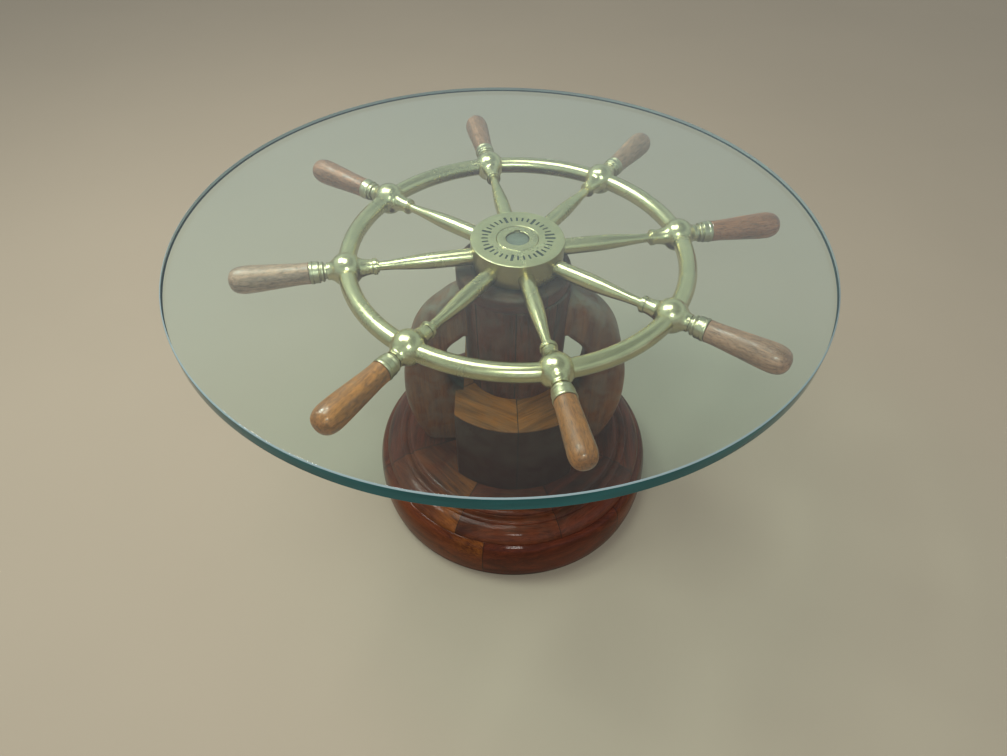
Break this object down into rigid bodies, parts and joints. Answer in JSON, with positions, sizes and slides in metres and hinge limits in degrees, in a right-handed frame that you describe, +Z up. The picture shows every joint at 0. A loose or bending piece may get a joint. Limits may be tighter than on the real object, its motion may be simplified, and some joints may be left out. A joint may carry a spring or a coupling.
{
  "type": "ship wheel coffee table",
  "caption": "Low round glass table resting on a brass ship's wheel with turned wooden hand grips, which turns on a spindle in a varnished wooden pedestal.",
  "frame": {"origin": "on the pedestal axis, in the plane of the floor", "axes": "+Z up along the pedestal and wheel axis, -Y towards the viewer of the picture, X along the two side arms"},
  "size_m": [0.914, 0.914, 0.53],
  "materials": {
    "brass": "worn satin polish",
    "bronze": "turned, oiled",
    "steel": "turned, dull",
    "base_wood": "gloss varnish",
    "grip_wood": "worn satin varnish",
    "glass": "clear, polished edge"
  },
  "bodies": {
    "pedestal": {"pedestal_foot": "base_wood", "base_moulding": "base_wood", "base_bolt": "steel", "pedestal_drum": "base_wood", "pedestal_column": "base_wood", "column_cap": "base_wood", "side_arm_left": "base_wood", "side_arm_right": "base_wood", "spindle_bush": "bronze", "thrust_washer": "steel"},
    "wheel": {"wheel_hub": "brass", "hub_sleeve": "brass", "wheel_spindle": "steel", "spindle_key": "steel", "spoke_1": "brass", "spoke_2": "brass", "spoke_3": "brass", "spoke_4": "brass", "spoke_5": "brass", "spoke_6": "brass", "spoke_7": "brass", "spoke_8": "brass", "rim_ball_1": "brass", "rim_ball_2": "brass", "rim_ball_3": "brass", "rim_ball_4": "brass", "rim_ball_5": "brass", "rim_ball_6": "brass", "rim_ball_7": "brass", "rim_ball_8": "brass", "rim_arc_1": "brass", "rim_arc_2": "brass", "rim_arc_3": "brass", "rim_arc_4": "brass", "rim_arc_5": "brass", "rim_arc_6": "brass", "rim_arc_7": "brass", "rim_arc_8": "brass", "handle_ferrule_1": "brass", "handle_ferrule_2": "brass", "handle_ferrule_3": "brass", "handle_ferrule_4": "brass", "handle_ferrule_5": "brass", "handle_ferrule_6": "brass", "handle_ferrule_7": "brass", "handle_ferrule_8": "brass", "handle_grip_1": "grip_wood", "handle_grip_2": "grip_wood", "handle_grip_3": "grip_wood", "handle_grip_4": "grip_wood", "handle_grip_5": "grip_wood", "handle_grip_6": "grip_wood", "handle_grip_7": "grip_wood", "handle_grip_8": "grip_wood"},
    "glass": {"glass_top": "glass"}
  },
  "joints": [
    {"name": "wheel_turn", "type": "hinge", "parent": "pedestal", "child": "wheel", "pos_m": [0, 0, 0.4955], "axis": [0, 0, 1], "continuous": true},
    {"name": "glass_lift", "type": "slide", "parent": "wheel", "child": "glass", "axis": [0, 0, 1], "range_m": [0, 0.15]}
  ]
}
